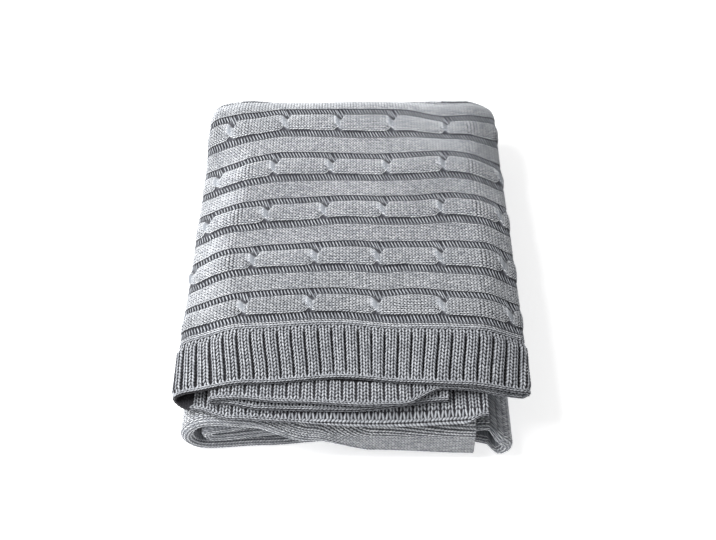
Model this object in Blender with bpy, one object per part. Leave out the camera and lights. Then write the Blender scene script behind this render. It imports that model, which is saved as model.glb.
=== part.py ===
"""A grey cable-knit throw, folded in three one way and in four the other, lying flat.

Metres, +Z up, front towards -Y, origin at the centre of the underside.

The cloth is one sheet. Its place on the sheet is given by two station numbers:
  s runs along the cables, over the four layers and the three side folds between them
      0-1 third layer, 1-2 inner left fold, 2-3 second layer, 3-4 right fold,
      4-5 top layer, 5-6 outer left fold, 6-7 fourth layer
  t runs from front to back and round underneath
      -1-0 rib border, 0-1 upper bundle, 1-2 back fold, 2-3 lower bundle,
      3-4 front fold, 4-5 the short flap folded back inside
"""

import math

import bmesh
import bpy
import numpy as np
from mathutils import Vector
from mathutils.geometry import delaunay_2d_cdt

# The sheet
CLOTH = 0.0038
BORDER_CLOTH = 0.0034
BORDER_LENGTH = 0.081
BODY_LENGTH = 1.219
SEAM_GAP = 0.0003

# The pile
LOWER_PITCH = 0.011
UPPER_PITCH = 0.0095
BUNDLE_GAP = 0.003
BACK_Y = 0.243
BACK_BULGE = 0.85
UPPER_BASE = 8 * LOWER_PITCH + BUNDLE_GAP

# The sections across the pile: x in metres, z in layer pitches.
# A run goes from x_start to x_end and changes height over the last share of its way.
# A fold is a half turn that bulges out by its own width, to the left (-1) or right (1).
SECTION_COLUMNS = ("x_start", "x_end", "z_start", "z_end", "share", "bulge", "side")
LOWER_SECTION = (
    (0.128, -0.180, 5.0, 5.0, 1.0, 0.000, 0),
    (-0.180, -0.180, 5.0, 3.0, 1.0, 0.010, -1),
    (-0.180, 0.173, 3.0, 4.9, 0.10, 0.000, 0),
    (0.173, 0.173, 4.9, 1.0, 1.0, 0.021, 1),
    (0.173, -0.189, 1.0, 1.0, 1.0, 0.000, 0),
    (-0.189, -0.189, 1.0, 7.0, 1.0, 0.027, -1),
    (-0.189, 0.152, 7.0, 7.0, 1.0, 0.000, 0),
)
UPPER_SECTION = (
    (0.118, -0.178, 1.5, 1.4, 0.10, 0.000, 0),
    (-0.178, -0.178, 1.4, 2.6, 1.0, 0.0045, -1),
    (-0.178, 0.213, 2.6, 1.95, 0.27, 0.000, 0),
    (0.213, 0.213, 1.95, 3.5, 1.0, 0.007, 1),
    (0.213, -0.209, 3.5, 3.5, 1.0, 0.000, 0),
    (-0.209, -0.209, 3.5, 0.5, 1.0, 0.020, -1),
    (-0.209, 0.167, 0.5, 1.3, 0.10, 0.000, 0),
)
STATIONS = len(UPPER_SECTION)

# How far each layer reaches forward of the centre, at stations along s
REACH_COLUMNS = ("station", "border_edge", "lower_front")
REACH = (
    (0.00, 0.272, 0.272),
    (0.40, 0.288, 0.272),
    (0.80, 0.284, 0.274),
    (1.00, 0.272, 0.282),
    (2.00, 0.272, 0.282),
    (2.25, 0.280, 0.274),
    (2.50, 0.287, 0.272),
    (2.60, 0.285, 0.272),
    (2.74, 0.260, 0.272),
    (2.90, 0.262, 0.272),
    (3.20, 0.258, 0.294),
    (3.80, 0.258, 0.294),
    (4.10, 0.260, 0.272),
    (4.35, 0.257, 0.272),
    (4.55, 0.250, 0.276),
    (4.80, 0.262, 0.286),
    (5.00, 0.268, 0.290),
    (5.50, 0.266, 0.288),
    (6.00, 0.272, 0.281),
    (6.15, 0.293, 0.285),
    (6.40, 0.290, 0.306),
    (6.62, 0.291, 0.336),
    (7.00, 0.288, 0.344),
)

# The front of the lower bundle's uppermost layer hangs down over the layers under it
BRINK_Y = -0.279
BRINK_RADIUS = 1.4 * LOWER_PITCH
BRINK_Z = 7.0 * LOWER_PITCH - BRINK_RADIUS
HANG_START_X = -0.170
HANG_FULL_X = 0.010
HANG_ANGLE = math.radians(88)
HANG_FADE_FROM = 0.023
HANG_FADE_TO = 0.044

# How the pile has settled: the share of its height lost towards each side, which starts
# at a distance from the middle that changes from front to back, and at the front and back
SETTLE_COLUMNS = ("y", "left_from", "left_loss", "right_from", "right_loss")
SETTLE = (
    (-0.290, 0.130, 0.18, 0.135, 0.18),
    (-0.180, 0.150, 0.21, 0.160, 0.22),
    (-0.050, 0.165, 0.34, 0.172, 0.27),
    (0.120, 0.150, 0.32, 0.165, 0.24),
    (0.240, 0.140, 0.22, 0.165, 0.20),
)
SIDE_TO_X = 0.234
FRONT_LOSS = 0.12
FRONT_FROM_Y = -0.110
FRONT_TO_Y = -0.285
BACK_LOSS = 0.10
BACK_FROM_Y = -0.020
BACK_TO_Y = 0.260
WAVE_LOSS = 0.018
WAVE_X = 0.230
WAVE_Y = 0.310
FLARE = 0.070

# The cable pattern on the outside of the sheet. Valleys part cables from plain bands in turn.
# The knitting is drawn together at the seam, so the bands grow wider up to the back edge.
FIRST_VALLEY = 0.0114
FIRST_BAND = 0.0384
BAND_GROWTH = 0.00073
LAST_GROWN = 9
VALLEY_SHARE = 0.16
CABLE_RISE = 0.0042
CROSSING_RISE = 0.0016
CROSSING_SLANT = 0.010
VALLEY_DROP = 0.0020
PLAIN_RISE = 0.0008
PATTERN_ROWS = (0.0, 0.2, 0.5, 0.8, 1.0, 1.3, 1.7)

# Where the pattern stands out: it fades in and out between these stations
RELIEF_IN_S = (3.45, 3.90)
RELIEF_OUT_S = (5.15, 5.60)
RELIEF_OUT_T = (1.82, 1.97)
RELIEF_IN_V = 0.008

# The rows bow towards the front at the left, more so towards the back
BOW = 0.017
BOW_FROM_X = -0.110
BOW_TO_X = -0.215
BOW_FULL_V = 0.350

# The crossings of each cable from front to back: the one nearest the middle, and the distance apart
CROSSING_COLUMNS = ("middle_x", "pitch")
CROSSINGS = (
    (0.0265, 0.0872),
    (0.0290, 0.0850),
    (0.0374, 0.0832),
    (0.0452, 0.0838),
    (0.0547, 0.0828),
    (0.0620, 0.0828),
)

# The rib border
RIB_PITCH = 0.0174
RIB_RISE = 0.0014
RIB_FLATNESS = 1.6
TIGHT_FOLD_SHARE = 0.3
TOP_RIB_PLACES = (0.08, 0.42, 0.58, 0.92)
HIDDEN_RIB_PLACES = (0.25, 0.75)

# Mesh rows
STEPS = (6, 5, 11, 6, 13, 8, 11)
STEP_CROWDING = 0.68
UPPER_ROWS = (0.0, 0.12, 0.26, 0.42, 0.60, 0.80)
BACK_ROWS = (0.0, 0.14, 0.28, 0.43, 0.57, 0.72, 0.86)
LOWER_ROWS = (0.0, 0.22, 0.44, 0.66, 0.85, 0.895, 0.92, 0.95)
FRONT_FOLD_ROWS = (0.0, 0.25, 0.50, 0.75)
FLAP_ROWS = (0.0, 0.10, 0.19, 0.28, 0.60)
BORDER_ROWS = (-1.0, -0.88, -0.70, -0.35)
PATTERN_STEP_U = 0.0208
PATCH_BORDER = 0.001
PATCH_TO_T = 2.05
PATCH_MARGIN_V = 0.004

KNIT_GREY = (0.315, 0.322, 0.345, 1.0)
RIB_GREY = (0.300, 0.307, 0.330, 1.0)


def smooth(x):
    """0 below 0, 1 above 1, and an S curve with level ends between."""
    x = np.clip(x, 0.0, 1.0)
    return x * x * (3.0 - 2.0 * x)


def fade(x, span):
    """0 before a span and 1 after it."""
    return smooth((x - span[0]) / (span[1] - span[0]))


def column(table, names, name):
    """One named column of a table, as an array."""
    return np.array([row[names.index(name)] for row in table])


def eased(x, stations, values):
    """The value at x between the rows of a table, level at each row."""
    x = np.clip(x, stations[0], stations[-1])
    row = np.clip(np.searchsorted(stations, x, side="right") - 1, 0, len(stations) - 2)
    part = smooth((x - stations[row]) / (stations[row + 1] - stations[row]))
    return values[row] + (values[row + 1] - values[row]) * part


def section(s, table, pitch):
    """x and z of a section across the pile, at stations s."""
    get = {name: column(table, SECTION_COLUMNS, name) for name in SECTION_COLUMNS}
    k = np.clip(np.floor(s).astype(int), 0, STATIONS - 1)
    f = s - k
    z_start = get["z_start"][k]
    z_end = get["z_end"][k]
    run_x = get["x_start"][k] + (get["x_end"][k] - get["x_start"][k]) * f
    run_z = z_start + (z_end - z_start) * smooth(1.0 - (1.0 - f) / get["share"][k])
    fold_x = get["x_start"][k] + get["side"][k] * get["bulge"][k] * np.sin(math.pi * f)
    fold_z = (z_start + z_end) / 2 + (z_start - z_end) / 2 * np.cos(math.pi * f)
    fold = get["side"][k] != 0
    return np.where(fold, fold_x, run_x), np.where(fold, fold_z, run_z) * pitch


def lower_pair(s):
    """The middle of a doubled layer of the lower bundle, and the normal towards its outside."""
    step = 1e-5
    x, z = section(s, LOWER_SECTION, LOWER_PITCH)
    x0, z0 = section(np.clip(s - step, 0, STATIONS), LOWER_SECTION, LOWER_PITCH)
    x1, z1 = section(np.clip(s + step, 0, STATIONS), LOWER_SECTION, LOWER_PITCH)
    length = np.hypot(x1 - x0, z1 - z0)
    return x, z, -(z1 - z0) / length, (x1 - x0) / length


def folded(s, t):
    """The sheet's middle in its neat folds, before the pile settles, at stations s and t."""
    stations = column(REACH, REACH_COLUMNS, "station")
    edge = -eased(s, stations, column(REACH, REACH_COLUMNS, "border_edge"))
    front = -eased(s, stations, column(REACH, REACH_COLUMNS, "lower_front"))
    seam = edge + BORDER_LENGTH
    half = LOWER_PITCH / 2
    x_up, z_up = section(s, UPPER_SECTION, UPPER_PITCH)
    z_up = z_up + UPPER_BASE
    x_pair, z_pair, nx, nz = lower_pair(s)
    x_out, z_out = x_pair + half * nx, z_pair + half * nz
    x_in, z_in = x_pair - half * nx, z_pair - half * nz
    radius = (z_up - z_out) / 2
    flap = BODY_LENGTH - (BACK_Y - seam) - math.pi * radius - (BACK_Y - front) - math.pi * half
    turn = math.pi * (t - 1.0)
    curl = math.pi * (t - 3.0)
    places = [t < 0, t < 1, t < 2, t < 3, t < 4]
    x = np.select(places, [x_up, x_up, x_up + (x_out - x_up) * smooth(t - 1.0), x_out,
                           x_pair + half * nx * np.cos(curl)], x_in)
    y = np.select(places, [seam + (seam - edge) * t, seam + (BACK_Y - seam) * t,
                           BACK_Y + BACK_BULGE * radius * np.sin(turn),
                           BACK_Y + (front - BACK_Y) * (t - 2.0),
                           front - half * np.sin(curl)], front + flap * (t - 4.0))
    z = np.select(places, [z_up, z_up, (z_up + z_out) / 2 + radius * np.cos(turn), z_out,
                           z_pair + half * nz * np.cos(curl)], z_in)
    return x, y, z


def hang(x, y, z):
    """Bend what lies past the brink down round an axis along X, more towards the right."""
    past = BRINK_Y - y
    height = z - BRINK_Z
    limit = HANG_ANGLE * smooth((x - HANG_START_X) / (HANG_FULL_X - HANG_START_X))
    limit = limit * smooth((HANG_FADE_TO - height) / (HANG_FADE_TO - HANG_FADE_FROM))
    angle = np.clip(past / BRINK_RADIUS, 0.0, limit)
    rest = past - angle * BRINK_RADIUS
    bent = (past > 0) & (height > 0)
    new_y = BRINK_Y - height * np.sin(angle) - rest * np.cos(angle)
    new_z = BRINK_Z + height * np.cos(angle) - rest * np.sin(angle)
    return x, np.where(bent, new_y, y), np.where(bent, new_z, z)


def settle(x, y, z):
    """Lower the pile towards its sides, front and back, leaving its underside level."""
    base = LOWER_PITCH / 2
    rows = column(SETTLE, SETTLE_COLUMNS, "y")
    at_y = {name: eased(y, rows, column(SETTLE, SETTLE_COLUMNS, name)) for name in SETTLE_COLUMNS}
    side_from = np.where(x < 0, at_y["left_from"], at_y["right_from"])
    side_loss = np.where(x < 0, at_y["left_loss"], at_y["right_loss"])
    share = (1.0
             - side_loss * smooth((np.abs(x) - side_from) / (SIDE_TO_X - side_from))
             - FRONT_LOSS * smooth((FRONT_FROM_Y - y) / (FRONT_FROM_Y - FRONT_TO_Y))
             - BACK_LOSS * smooth((y - BACK_FROM_Y) / (BACK_TO_Y - BACK_FROM_Y))
             + WAVE_LOSS * np.sin(2 * math.pi * x / WAVE_X + 1.1) * np.cos(2 * math.pi * y / WAVE_Y))
    return x * (1.0 - FLARE * y), y, base + (z - base) * share


def place(s, t):
    """The sheet's middle as it lies, as an array of points."""
    return np.stack(settle(*hang(*folded(s, t))), axis=-1)


def outward(s, t, low_t):
    """Unit normals towards the cabled side, from nearby points on the sheet."""
    step = 2e-4
    s0, s1 = np.clip(s - step, 0, STATIONS), np.clip(s + step, 0, STATIONS)
    t0, t1 = np.clip(t - step, low_t, 5), np.clip(t + step, low_t, 5)
    along = place(s1, t) - place(s0, t)
    across = place(s, t1) - place(s, t0)
    normal = np.cross(across, along)
    return normal / np.linalg.norm(normal, axis=-1, keepdims=True)


def length_table():
    """Length along the upper section up to each of many stations s."""
    s = np.linspace(0, STATIONS, 7001)
    x, z = section(s, UPPER_SECTION, UPPER_PITCH)
    steps = np.hypot(np.diff(x), np.diff(z))
    return s, np.concatenate(([0.0], np.cumsum(steps)))


S_TABLE, U_TABLE = length_table()
TOP_LAYER = 4
TOP_REACH = 0.257
UPPER_LENGTH = BACK_Y + TOP_REACH - BORDER_LENGTH
TOP_RADIUS = (UPPER_BASE + 3.5 * UPPER_PITCH - 0.5 * LOWER_PITCH) / 2
FLAP_LENGTH = 0.18
V_AT_T = np.cumsum([0.0, UPPER_LENGTH, math.pi * TOP_RADIUS, BACK_Y - BRINK_Y,
                    math.pi * LOWER_PITCH / 2, FLAP_LENGTH])


def u_of(s):
    """Distance along the cables, in metres."""
    return np.interp(s, S_TABLE, U_TABLE)


def s_of(u):
    """Station from a distance along the cables."""
    return np.interp(u, U_TABLE, S_TABLE)


def v_of(t):
    """Distance from the seam on the top layer, in metres."""
    return np.interp(t, np.arange(6), V_AT_T)


def t_of(v):
    """Station from a distance behind the seam."""
    return np.interp(v, V_AT_T, np.arange(6))


def band_of(v):
    """Number of bands behind the first valley, with its fraction: even ones are cables."""
    grown = FIRST_BAND + 2 * BAND_GROWTH * LAST_GROWN
    last = FIRST_VALLEY + FIRST_BAND * LAST_GROWN + BAND_GROWTH * LAST_GROWN ** 2
    root = np.sqrt(np.clip(FIRST_BAND ** 2 + 4 * BAND_GROWTH * (v - FIRST_VALLEY), 0.0, None))
    return np.where(v < last, (root - FIRST_BAND) / (2 * BAND_GROWTH), LAST_GROWN + (v - last) / grown)


def v_of_band(band):
    """Distance behind the seam from a number of bands."""
    past = np.clip(band - LAST_GROWN, 0.0, None)
    inside = np.minimum(band, LAST_GROWN)
    grown = FIRST_BAND + 2 * BAND_GROWTH * LAST_GROWN
    return FIRST_VALLEY + FIRST_BAND * inside + BAND_GROWTH * inside ** 2 + grown * past


def bow(u, v):
    """How far forward the rows lie at the left, at a distance behind the seam."""
    x = UPPER_SECTION[TOP_LAYER][0] - (u - u_of(TOP_LAYER))
    return BOW * smooth((x - BOW_FROM_X) / (BOW_TO_X - BOW_FROM_X)) * smooth(v / BOW_FULL_V)


def cable_relief(u, v):
    """Height of the knitting above the sheet: valleys, raised cables and their crossings."""
    band = band_of(v + bow(u, v))
    number = np.floor(band)
    across = (band - number - 0.5) / (0.5 - VALLEY_SHARE)
    dome = np.where(number % 2 == 0, np.clip(1.0 - across ** 2, 0.0, 1.0), 0.0)
    row = np.clip(number // 2, 0, len(CROSSINGS) - 1).astype(int)
    middle = column(CROSSINGS, CROSSING_COLUMNS, "middle_x")[row]
    pitch = column(CROSSINGS, CROSSING_COLUMNS, "pitch")[row]
    from_middle = u - u_of(TOP_LAYER) - UPPER_SECTION[TOP_LAYER][0] + middle - CROSSING_SLANT * across
    crossing = CROSSING_RISE * np.cos(2 * math.pi * from_middle / pitch) * dome
    valley = VALLEY_DROP * np.exp(-((band - np.round(band)) / VALLEY_SHARE) ** 2)
    return CABLE_RISE * np.sqrt(dome) + crossing + PLAIN_RISE - valley


def coarse_rows():
    """Stations s and t of the plain grid over the whole sheet."""
    s = []
    for k, count in enumerate(STEPS):
        part = np.arange(count) / count
        crowding = STEP_CROWDING if k % 2 == 0 else 0.0
        s.append(k + part - crowding * np.sin(2 * math.pi * part) / (2 * math.pi))
    rows = (UPPER_ROWS, BACK_ROWS, LOWER_ROWS, FRONT_FOLD_ROWS, FLAP_ROWS)
    t = [k + np.array(row) for k, row in enumerate(rows)]
    return np.append(np.concatenate(s), STATIONS), np.append(np.concatenate(t), len(rows))


def seam_columns(s_rows):
    """Distances along the seam at which both pieces turn: the ribs' sides, and the side folds."""
    layer = np.clip(np.floor(s_rows).astype(int), 0, STATIONS - 1)
    fold = (layer % 2 == 1) | (s_rows == np.round(s_rows))
    columns = u_of(s_rows[fold]).tolist()
    for rib in range(math.ceil(U_TABLE[-1] / RIB_PITCH)):
        middle = s_of((rib + 0.5) * RIB_PITCH)
        places = TOP_RIB_PLACES if int(middle) == TOP_LAYER else HIDDEN_RIB_PLACES
        for u in [(rib + part) * RIB_PITCH for part in places]:
            if int(s_of(u)) % 2 == 0 and min(abs(u - other) for other in columns) > RIB_PITCH / 8:
                columns.append(u)
    return np.array(sorted(columns))


def plain_points(s_rows, t_rows):
    """Points of the plain grid, with the seam's own columns along its first row."""
    grid = np.stack(np.meshgrid(u_of(s_rows), v_of(t_rows[1:]), indexing="ij"), -1).reshape(-1, 2)
    seam = seam_columns(s_rows)
    return np.concatenate([np.stack([seam, np.zeros(len(seam))], axis=-1), grid])


def pattern_points(s_rows, t_rows):
    """Points of the plain grid, with a finer patch over the top layer and the back fold."""
    s_from, s_to = TOP_LAYER - 1 - PATCH_BORDER, TOP_LAYER + 2 + PATCH_BORDER
    plain = plain_points(s_rows, t_rows)
    s, t = s_of(plain[:, 0]), t_of(plain[:, 1])
    plain = plain[(s < s_from) | (s > s_to) | (t == 0) | (t > PATCH_TO_T)]
    folds = s_rows[(s_rows > s_from) & (s_rows < s_to)]
    on_fold = u_of(folds[(folds <= TOP_LAYER) | (folds >= TOP_LAYER + 1)])
    on_top = np.arange(u_of(TOP_LAYER) + PATTERN_STEP_U, u_of(TOP_LAYER + 1) - PATTERN_STEP_U / 2,
                       PATTERN_STEP_U)
    repeats = np.arange(0, math.ceil(band_of(v_of(PATCH_TO_T)) / 2) + 1)
    rows = v_of_band((2 * repeats[:, None] + np.array(PATTERN_ROWS)).ravel())
    rows = rows[(rows > PATCH_MARGIN_V) & (rows < v_of(PATCH_TO_T) - PATCH_MARGIN_V)]
    fine_u, fine_v = np.meshgrid(np.concatenate([on_fold, on_top]), rows, indexing="ij")
    return np.concatenate([plain, np.stack([fine_u.ravel(), fine_v.ravel()], axis=-1)])


def flat_triangles(points):
    """Delaunay triangles over points on the flat sheet, as index rows turned one way."""
    result = delaunay_2d_cdt([Vector(p) for p in points.tolist()], [], [], 0, 1e-7)
    verts = np.array([tuple(v) for v in result[0]])
    order = np.array([origin[0] for origin in result[3]])
    tri = order[np.array(result[2])]
    a, b, c = points[tri[:, 0]], points[tri[:, 1]], points[tri[:, 2]]
    area = (b[:, 0] - a[:, 0]) * (c[:, 1] - a[:, 1]) - (c[:, 0] - a[:, 0]) * (b[:, 1] - a[:, 1])
    tri[area < 0] = tri[area < 0][:, ::-1]
    assert len(verts) == len(points)
    return tri


def rim_of(points):
    """Indices of the points along the sheet's four edges, in order round it."""
    u, v = points[:, 0], points[:, 1]
    sides = ((v, v.min(), u, 1), (u, u.max(), v, 1), (v, v.max(), u, -1), (u, u.min(), v, -1))
    rim = []
    for edge, level, along, way in sides:
        on_edge = np.flatnonzero(np.abs(edge - level) < 1e-9)
        on_edge = on_edge[np.argsort(way * along[on_edge])]
        rim.extend(on_edge[:-1].tolist())
    return np.array(rim)


def closed_sheet(name, outer_points, outer, inner_points, inner, collection, colour):
    """One closed solid from the outer and inner faces of the sheet, joined along the rim."""
    outer_tri, inner_tri = flat_triangles(outer_points), flat_triangles(inner_points)
    outer_rim, inner_rim = rim_of(outer_points), rim_of(inner_points)
    count = len(outer_points)
    following = np.roll(np.arange(len(outer_rim)), -1)
    wall = np.stack([outer_rim, inner_rim + count, inner_rim[following] + count, outer_rim[following]],
                    axis=-1)
    faces = outer_tri[:, ::-1].tolist() + (inner_tri + count).tolist() + wall[:, ::-1].tolist()
    mesh = bpy.data.meshes.new(name)
    mesh.from_pydata(np.concatenate([outer, inner]).tolist(), [], faces)
    bm = bmesh.new()
    bm.from_mesh(mesh)
    bmesh.ops.triangulate(bm, faces=bm.faces[:])
    bmesh.ops.recalc_face_normals(bm, faces=bm.faces[:])
    bm.to_mesh(mesh)
    bm.free()
    mesh.shade_smooth()
    mesh.set_sharp_from_angle(angle=math.radians(50))
    mesh.materials.append(knit_material(name + "_yarn", colour))
    piece = bpy.data.objects.new(name, mesh)
    collection.objects.link(piece)
    return piece


def knit_material(name, colour):
    """Matt yarn in one grey."""
    material = bpy.data.materials.new(name)
    material.use_nodes = True
    shader = material.node_tree.nodes["Principled BSDF"]
    shader.inputs["Base Color"].default_value = colour
    shader.inputs["Roughness"].default_value = 0.92
    shader.inputs["Metallic"].default_value = 0.0
    return material


def make_body(collection):
    """The cabled sheet behind the seam, over the back fold and into the lower bundle."""
    s_rows, t_rows = coarse_rows()
    inner_points = plain_points(s_rows, t_rows)
    outer_points = pattern_points(s_rows, t_rows)

    def face(points, side):
        s, t = s_of(points[:, 0]), t_of(points[:, 1])
        normal = outward(s, t, 0.0)
        shown = (fade(s, RELIEF_IN_S) * (1.0 - fade(s, RELIEF_OUT_S))
                 * (1.0 - fade(t, RELIEF_OUT_T)) * smooth(points[:, 1] / RELIEF_IN_V))
        relief = cable_relief(points[:, 0], points[:, 1]) * shown if side > 0 else 0.0
        return place(s, t) + normal * np.reshape(side * CLOTH / 2 + relief, (-1, 1))

    return closed_sheet("cable_body", outer_points, face(outer_points, 1), inner_points,
                        face(inner_points, -1), collection, KNIT_GREY)


def make_border(collection):
    """The ribbed strip linked to the front edge, folded in four with the sheet."""
    gap = SEAM_GAP / BORDER_LENGTH
    t_rows = np.array(BORDER_ROWS + (-gap,))
    columns = seam_columns(coarse_rows()[0])
    u, t = [grid.ravel() for grid in np.meshgrid(columns, t_rows, indexing="ij")]
    points = np.stack([u, t * BORDER_LENGTH], axis=-1)
    s = s_of(u)
    rib = np.mod(u / RIB_PITCH, 1.0)
    rise = RIB_RISE * np.clip(RIB_FLATNESS * np.sin(2 * math.pi * rib), -1.0, 1.0)
    tight = (s > 1) & (s < 2) | (s > 3) & (s < 4)
    rise = rise * smooth((-t - gap) / 0.2) * np.where(tight, TIGHT_FOLD_SHARE, 1.0)
    normal = outward(s, t, -1.0)

    def face(side):
        return place(s, t) + normal * np.reshape(side * BORDER_CLOTH / 2 + rise, (-1, 1))

    return closed_sheet("rib_border", points, face(1), points, face(-1), collection, RIB_GREY)


def centre_on_floor(pieces):
    """Move the pieces together so that the box round them stands centred on the origin."""
    corners = np.array([v.co[:] for piece in pieces for v in piece.data.vertices])
    low, high = corners.min(axis=0), corners.max(axis=0)
    shift = Vector((-(low[0] + high[0]) / 2, -(low[1] + high[1]) / 2, -low[2]))
    for piece in pieces:
        piece.location = shift


def main():
    for old in list(bpy.data.objects):
        bpy.data.objects.remove(old, do_unlink=True)
    collection = bpy.data.collections.new("folded_cable_knit_throw")
    bpy.context.scene.collection.children.link(collection)
    centre_on_floor([make_body(collection), make_border(collection)])


main()
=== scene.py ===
# %% [markdown]
# # A folded cable-knit throw
#
# The real thing is one rectangle of knitting in grey cotton yarn, about 1.3 by 1.6 metres, folded in
# three one way and in four the other, so that it lies as a soft pile with its ribbed border in front.
# Its shape comes from the fold tables of the CAD solids, with small changes at the corners. On it every
# stitch that shows is a small solid of yarn, in rows and columns as a knitting machine lays them. This
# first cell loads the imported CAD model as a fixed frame, in metres.

# %% Load the frame
import math

import bpy
import numpy as np
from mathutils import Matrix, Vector


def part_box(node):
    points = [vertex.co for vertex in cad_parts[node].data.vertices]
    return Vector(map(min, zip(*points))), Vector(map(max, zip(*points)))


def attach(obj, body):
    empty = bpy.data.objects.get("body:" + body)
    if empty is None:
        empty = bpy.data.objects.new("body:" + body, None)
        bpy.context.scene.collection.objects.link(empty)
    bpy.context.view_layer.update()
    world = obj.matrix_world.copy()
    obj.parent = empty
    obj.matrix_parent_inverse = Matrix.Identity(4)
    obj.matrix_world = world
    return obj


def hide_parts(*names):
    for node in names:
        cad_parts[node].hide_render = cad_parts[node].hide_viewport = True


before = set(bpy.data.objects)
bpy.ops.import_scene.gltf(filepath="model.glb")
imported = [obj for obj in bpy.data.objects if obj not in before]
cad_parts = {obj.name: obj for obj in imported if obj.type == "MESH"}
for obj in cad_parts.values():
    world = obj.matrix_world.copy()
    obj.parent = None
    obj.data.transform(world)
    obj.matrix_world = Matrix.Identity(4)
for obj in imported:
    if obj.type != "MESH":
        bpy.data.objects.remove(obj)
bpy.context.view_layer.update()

# %% [markdown]
# ## The sizes of the sheet and of the pile
#
# A folded cloth can be simulated, sculpted, or laid by a rule that says where each point of the flat
# sheet goes. The rule is chosen, because the stitches need it too: it carries each one to its place in
# the pile. A place on the sheet is two station numbers: s runs along the cables over four layers and
# three side folds, and t from the ribbed border over the top, round the back and through the lower half.

# %% Sizes in metres
CLOTH = 0.0038
BORDER_CLOTH = 0.0034
BORDER_LENGTH = 0.081
BODY_LENGTH = 1.219

LOWER_PITCH = 0.011
UPPER_PITCH = 0.0095
BUNDLE_GAP = 0.003
BACK_Y = 0.243
BACK_BULGE = 0.85
UPPER_BASE = 8 * LOWER_PITCH + BUNDLE_GAP
TOP_LAYER = 4
TOP_REACH = 0.257

# %% [markdown]
# ## The sections across the pile
#
# Each row of a section is a run or a fold: x in metres, z in layer pitches. A run goes from x_start to
# x_end and changes height over the last share of its way. A fold is a half turn that bulges out to the
# left or to the right. A second table says how far forward the cloth reaches at each station s.

# %% Section tables
# x_start, x_end, z_start, z_end, share, bulge, side
LOWER_SECTION = (
    (0.128, -0.180, 5.0, 5.0, 1.0, 0.000, 0),
    (-0.180, -0.180, 5.0, 3.0, 1.0, 0.010, -1),
    (-0.180, 0.173, 3.0, 4.9, 0.10, 0.000, 0),
    (0.173, 0.173, 4.9, 1.0, 1.0, 0.021, 1),
    (0.173, -0.189, 1.0, 1.0, 1.0, 0.000, 0),
    (-0.189, -0.189, 1.0, 7.0, 1.0, 0.027, -1),
    (-0.189, 0.152, 7.0, 7.0, 1.0, 0.000, 0),
)
UPPER_SECTION = (
    (0.118, -0.178, 1.5, 1.4, 0.10, 0.000, 0),
    (-0.178, -0.178, 1.4, 2.6, 1.0, 0.0045, -1),
    (-0.178, 0.213, 2.6, 1.95, 0.27, 0.000, 0),
    (0.213, 0.213, 1.95, 3.5, 1.0, 0.007, 1),
    (0.213, -0.209, 3.5, 3.5, 1.0, 0.000, 0),
    (-0.209, -0.209, 3.5, 0.5, 1.0, 0.020, -1),
    (-0.209, 0.167, 0.5, 1.3, 0.10, 0.000, 0),
)
STATIONS = len(UPPER_SECTION)

# s, border edge, lower front
REACH = (
    (0.00, 0.272, 0.272),
    (0.40, 0.288, 0.272),
    (0.80, 0.284, 0.274),
    (1.00, 0.272, 0.282),
    (2.00, 0.272, 0.282),
    (2.25, 0.280, 0.274),
    (2.50, 0.287, 0.272),
    (2.60, 0.285, 0.272),
    (2.74, 0.260, 0.272),
    (2.90, 0.262, 0.272),
    (3.20, 0.258, 0.294),
    (3.80, 0.258, 0.294),
    (4.10, 0.260, 0.272),
    (4.35, 0.257, 0.272),
    (4.55, 0.250, 0.272),
    (4.80, 0.257, 0.279),
    (5.00, 0.260, 0.283),
    (5.50, 0.262, 0.284),
    (6.00, 0.272, 0.281),
    (6.15, 0.293, 0.285),
    (6.40, 0.290, 0.306),
    (6.62, 0.291, 0.336),
    (7.00, 0.288, 0.344),
)
print("layers and folds along the cables:", STATIONS)

# %% [markdown]
# ## How the pile hangs and settles
#
# Knitting is limp, so flat layers look wrong. The front of the lower half hangs down over the layers
# under it, more towards the right, and the whole pile is lower at its sides, front and back than in its
# middle. Both are smooth changes of the neat folds.

# %% Sizes of the hang and the settling
BRINK_Y = -0.279
BRINK_RADIUS = 1.4 * LOWER_PITCH
BRINK_Z = 7.0 * LOWER_PITCH - BRINK_RADIUS
HANG_START_X = -0.170
HANG_FULL_X = 0.010
HANG_ANGLE = math.radians(88)
HANG_FADE_FROM = 0.023
HANG_FADE_TO = 0.044
# y, then |x| from which the left side sinks and its loss, and the same on the right
SETTLE = (
    (-0.290, 0.130, 0.18, 0.135, 0.18),
    (-0.180, 0.150, 0.21, 0.160, 0.22),
    (-0.050, 0.165, 0.34, 0.172, 0.27),
    (0.120, 0.150, 0.32, 0.165, 0.24),
    (0.240, 0.165, 0.10, 0.175, 0.17),
)
SIDE_TO_X = 0.234
FRONT_LOSS = 0.12
FRONT_FROM_Y = -0.110
FRONT_TO_Y = -0.285
BACK_LOSS = 0.06
BACK_FROM_Y = -0.020
BACK_TO_Y = 0.260
WAVE_LOSS = 0.018
WAVE_X = 0.230
WAVE_Y = 0.310
FLARE = 0.070


# %% [markdown]
# ## The fold rule
#
# These functions carry whole arrays of station numbers to points, which keeps half a million yarn
# vertices quick.

# %% Small curves
def smooth(x):
    """0 below 0, 1 above 1, and an S curve with level ends between."""
    x = np.clip(x, 0.0, 1.0)
    return x * x * (3.0 - 2.0 * x)


def rounded(x):
    """Height of a half circle over x: 1 at 0, and 0 from -1 and 1 outwards."""
    return np.sqrt(np.clip(1.0 - x ** 2, 0.0, 1.0))


def pairs(*rows):
    """Every combination of the rows' values as flat arrays, the last row running fastest."""
    return [part.ravel() for part in np.meshgrid(*rows, indexing="ij")]


def columns(table, rows=slice(None)):
    """The columns of a table, at all its rows or at an array of row numbers."""
    return np.array(table).T[:, rows]


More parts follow.
